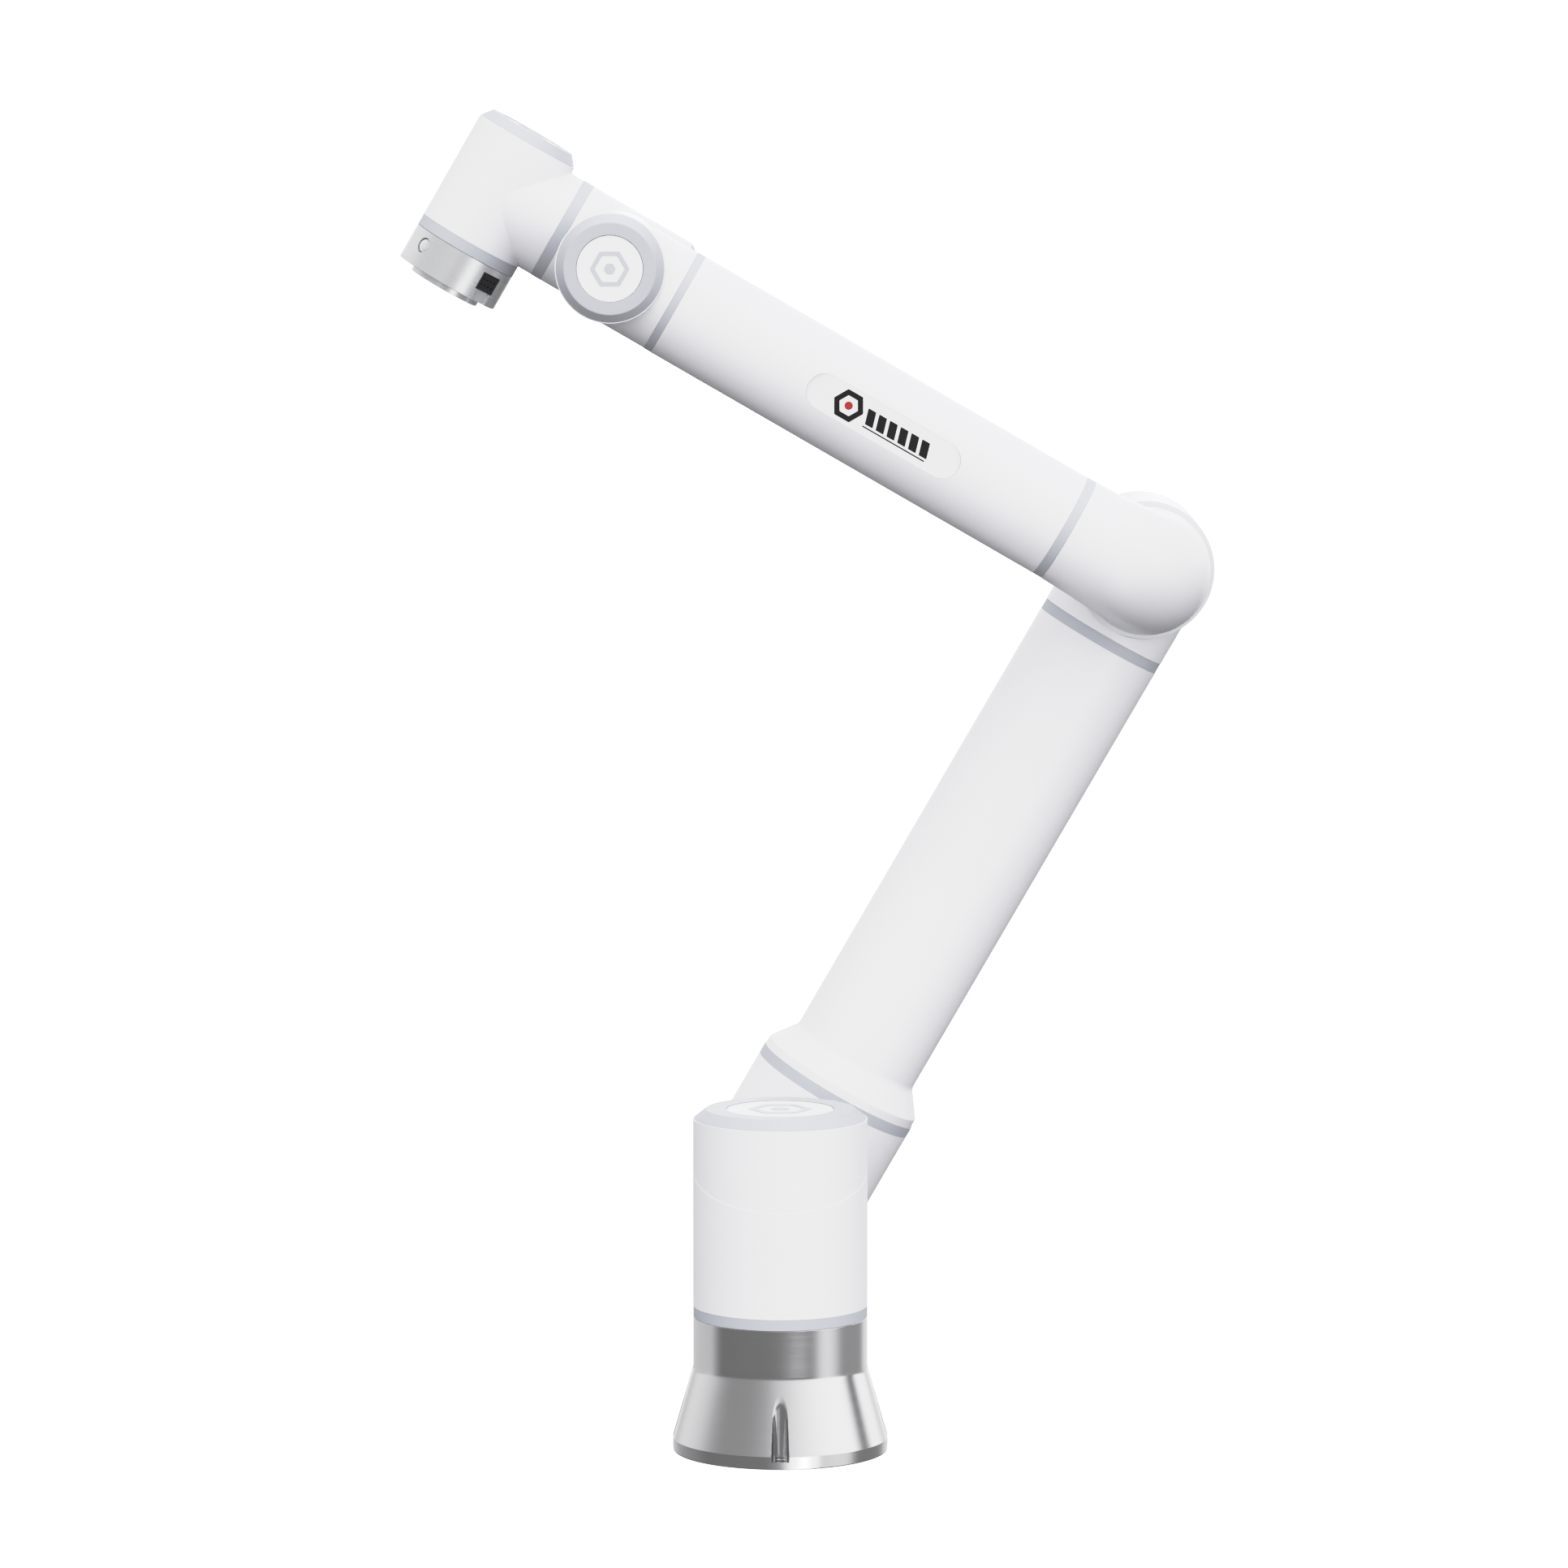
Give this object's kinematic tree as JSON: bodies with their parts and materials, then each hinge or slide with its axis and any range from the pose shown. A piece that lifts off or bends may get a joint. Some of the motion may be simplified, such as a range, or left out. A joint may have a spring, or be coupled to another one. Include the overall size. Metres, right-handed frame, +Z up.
{
  "type": "robot arm",
  "caption": "Six-axis collaborative robot arm: T-shaped drum modules joined by long tubes, on a flared metal foot, with a round tool flange and a push button at the wrist.",
  "frame": {"origin": "centre of the foot's underside, on joint 1's axis", "axes": "+Z up along joint 1; the upper arm leans towards +X; the arm's offset side, away from the viewer, is +Y"},
  "size_m": [0.7238, 0.375, 1.1745],
  "materials": {
    "white_shell": "satin",
    "grey_ring": "matte",
    "grey_cap": "satin",
    "badge_white": "gloss",
    "machined_metal": "satin",
    "black_plastic": "matte",
    "gear_steel": "satin",
    "motor_winding": "satin",
    "circuit_board": "satin",
    "button_metal": "polished"
  },
  "bodies": {
    "base": {"base_foot": "machined_metal", "base_plate": "machined_metal", "base_inlet": "black_plastic", "base_ring": "grey_ring"},
    "shoulder": {"shoulder_housing": "white_shell", "shoulder_cap": "grey_cap", "shoulder_badge": "badge_white", "joint_1_gear": "gear_steel", "joint_1_motor": "motor_winding", "joint_1_drive_board": "circuit_board", "shoulder_ring": "grey_ring"},
    "upper_arm": {"upper_arm_housing": "white_shell", "upper_arm_cap": "grey_cap", "upper_arm_badge": "badge_white", "joint_2_gear": "gear_steel", "joint_2_motor": "motor_winding", "joint_2_drive_board": "circuit_board", "upper_arm_lower_ring": "grey_ring", "upper_arm_tube": "white_shell", "upper_arm_top_ring": "grey_ring", "elbow_housing": "white_shell", "elbow_cap": "grey_cap", "elbow_badge": "badge_white", "joint_3_gear": "gear_steel", "joint_3_motor": "motor_winding", "joint_3_drive_board": "circuit_board"},
    "forearm": {"elbow_ring": "grey_ring", "forearm_bracket": "white_shell", "forearm_elbow_ring": "grey_ring", "forearm_tube": "white_shell", "forearm_plaque": "white_shell", "forearm_wrist_ring": "grey_ring", "wrist_1_housing": "white_shell", "wrist_1_cap": "grey_cap", "wrist_1_badge": "badge_white", "joint_4_gear": "gear_steel", "joint_4_motor": "motor_winding", "joint_4_drive_board": "circuit_board"},
    "wrist_1": {"wrist_1_ring": "grey_ring", "wrist_2_housing": "white_shell", "wrist_2_cap": "grey_cap", "wrist_2_badge": "badge_white", "joint_5_gear": "gear_steel", "joint_5_motor": "motor_winding", "joint_5_drive_board": "circuit_board"},
    "wrist_2": {"wrist_2_ring": "grey_ring", "wrist_3_housing": "white_shell", "wrist_3_cap": "grey_cap", "wrist_3_badge": "badge_white", "joint_6_gear": "gear_steel", "joint_6_motor": "motor_winding", "joint_6_drive_board": "circuit_board"},
    "tool": {"tool_ring": "grey_ring", "tool_flange": "machined_metal", "tool_connector": "black_plastic", "tool_plate": "machined_metal"},
    "teach_button": {"teach_button": "button_metal"}
  },
  "joints": [
    {"name": "joint_1_base", "type": "hinge", "parent": "base", "child": "shoulder", "pos_m": [0, 0, 0.2058], "axis": [0, 0, 1], "range_deg": [-175, 175]},
    {"name": "joint_2_shoulder", "type": "hinge", "parent": "shoulder", "child": "upper_arm", "pos_m": [0, 0.1822, 0.2058], "axis": [0, 1, 0], "range_deg": [-150, 90]},
    {"name": "joint_3_elbow", "type": "hinge", "parent": "upper_arm", "child": "forearm", "pos_m": [0.3245, 0.1822, 0.76785], "axis": [0, 1, 0], "range_deg": [-50, 230]},
    {"name": "joint_4_wrist", "type": "hinge", "parent": "forearm", "child": "wrist_1", "pos_m": [-0.14748, 0.0466, 1.04035], "axis": [0, 1, 0], "range_deg": [-175, 175]},
    {"name": "joint_5_wrist", "type": "hinge", "parent": "wrist_1", "child": "wrist_2", "pos_m": [-0.14748, 0.1676, 1.04035], "axis": [-0.866, 0, 0.5], "range_deg": [-175, 175]},
    {"name": "joint_6_flange", "type": "hinge", "parent": "wrist_2", "child": "tool", "pos_m": [-0.25106, 0.1676, 1.10015], "axis": [-0.5, 0, -0.866], "range_deg": [-175, 175]},
    {"name": "teach_button_press", "type": "slide", "parent": "tool", "child": "teach_button", "axis": [0.607, 0.7133, -0.3505], "range_m": [0, 0.0012], "stiffness_N_per_m": 900, "springref_m": -0.0006}
  ]
}
